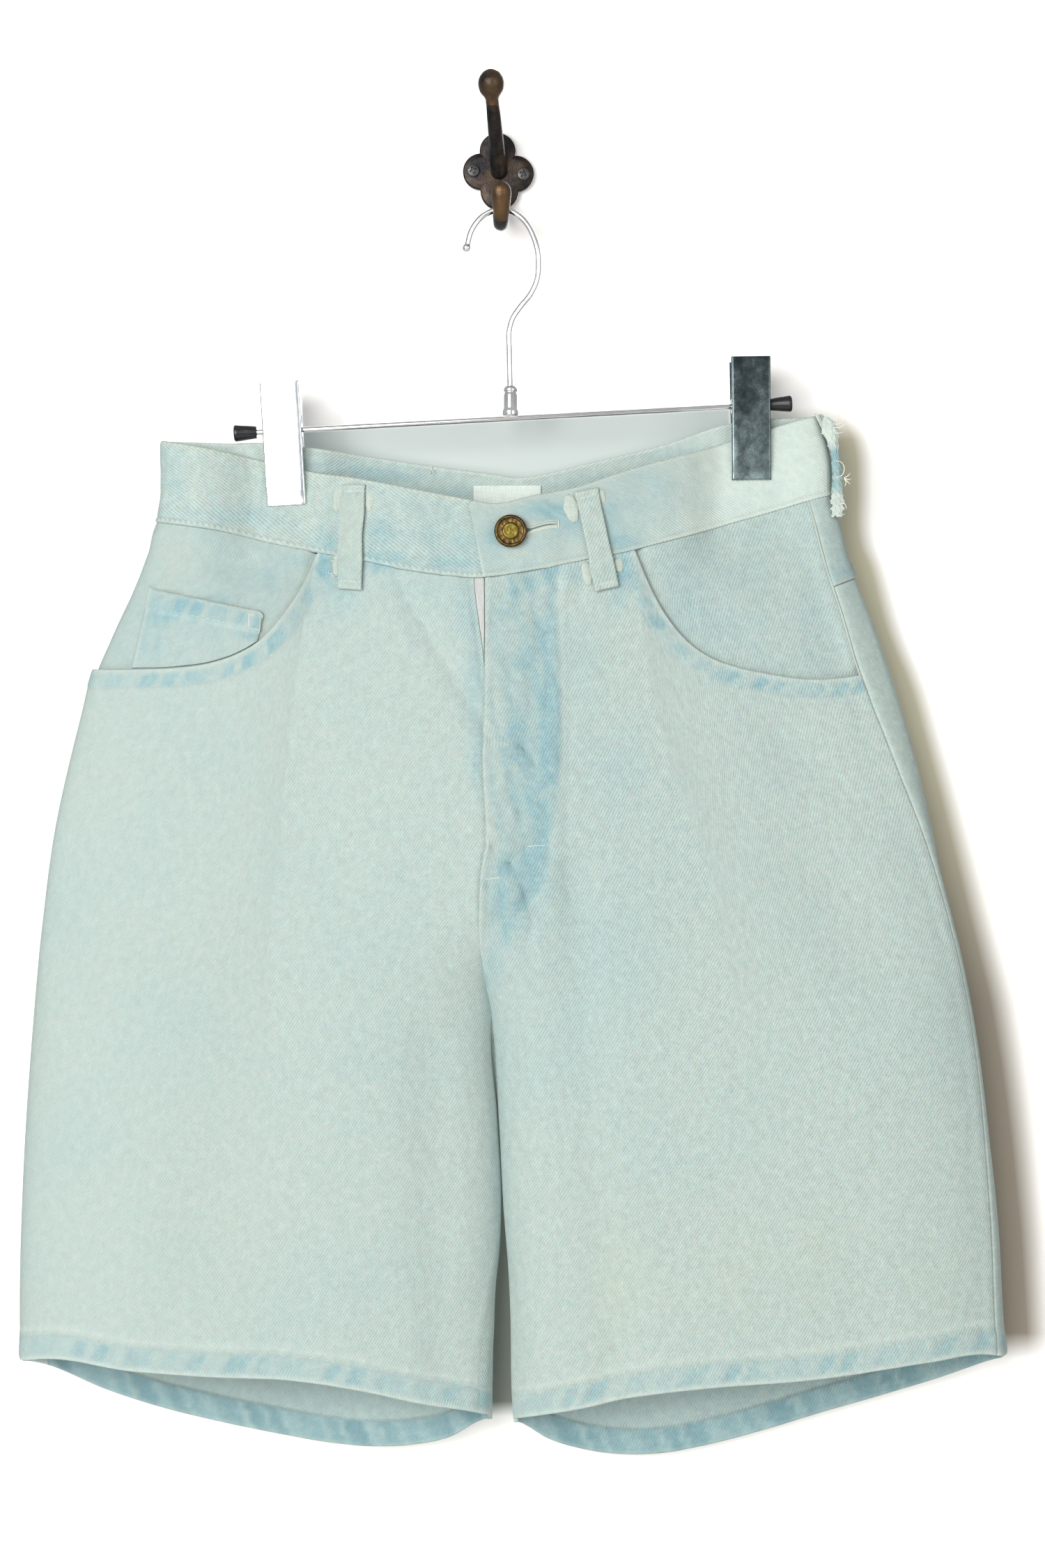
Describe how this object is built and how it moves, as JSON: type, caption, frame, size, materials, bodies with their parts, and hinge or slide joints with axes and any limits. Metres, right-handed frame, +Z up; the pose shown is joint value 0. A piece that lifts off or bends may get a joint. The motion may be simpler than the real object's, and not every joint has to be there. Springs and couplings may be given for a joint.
{
  "type": "denim shorts on a clip hanger and wall hook",
  "caption": "Five-pocket denim shorts with a button fly, hung flat by the waistband from a clip hanger on a cast wall hook.",
  "frame": {"origin": "centre of the wall plate's back face, on the wall", "axes": "+Z up, +Y into the wall, the front of the shorts faces -Y, +X to the viewer's right"},
  "size_m": [0.5239, 0.0583, 0.7359],
  "materials": {
    "bleached_denim_front": "bleached twill, matt",
    "bleached_denim_back": "bleached twill, matt, a little bluer inside",
    "waistband_denim": "bleached twill, two layers, matt",
    "pale_tape": "cream cotton, matt",
    "label_cloth": "plain white woven cloth",
    "aged_bronze": "aged, dull",
    "chrome": "polished, a little worn",
    "black_cap": "satin black",
    "dark_iron": "dark bronzed, worn on the knob"
  },
  "bodies": {
    "root": {"back_left": "bleached_denim_back", "back_right": "bleached_denim_back", "button": "aged_bronze", "cap_left": "black_cap", "cap_right": "black_cap", "clip_left_back": "chrome", "clip_left_front": "chrome", "clip_left_spring": "chrome", "clip_right_back": "chrome", "clip_right_front": "chrome", "clip_right_spring": "chrome", "coin_pocket": "bleached_denim_front", "facing_left": "bleached_denim_front", "facing_right": "bleached_denim_front", "fly_tape": "pale_tape", "front_left": "bleached_denim_front", "front_right": "bleached_denim_front", "hanger_bar": "chrome", "hanger_ferrule": "chrome", "hanger_hook": "chrome", "label": "label_cloth", "loop_back_left": "waistband_denim", "loop_back_right": "waistband_denim", "loop_front_left": "waistband_denim", "loop_front_right": "waistband_denim", "loop_side_left": "waistband_denim", "loop_side_right": "waistband_denim", "pocket_back_left": "bleached_denim_back", "pocket_back_right": "bleached_denim_back", "screw_1": "dark_iron", "screw_2": "dark_iron", "waistband_left": "waistband_denim", "waistband_right": "waistband_denim", "wall_hook": "dark_iron", "yoke_left": "bleached_denim_back", "yoke_right": "bleached_denim_back"}
  },
  "joints": []
}
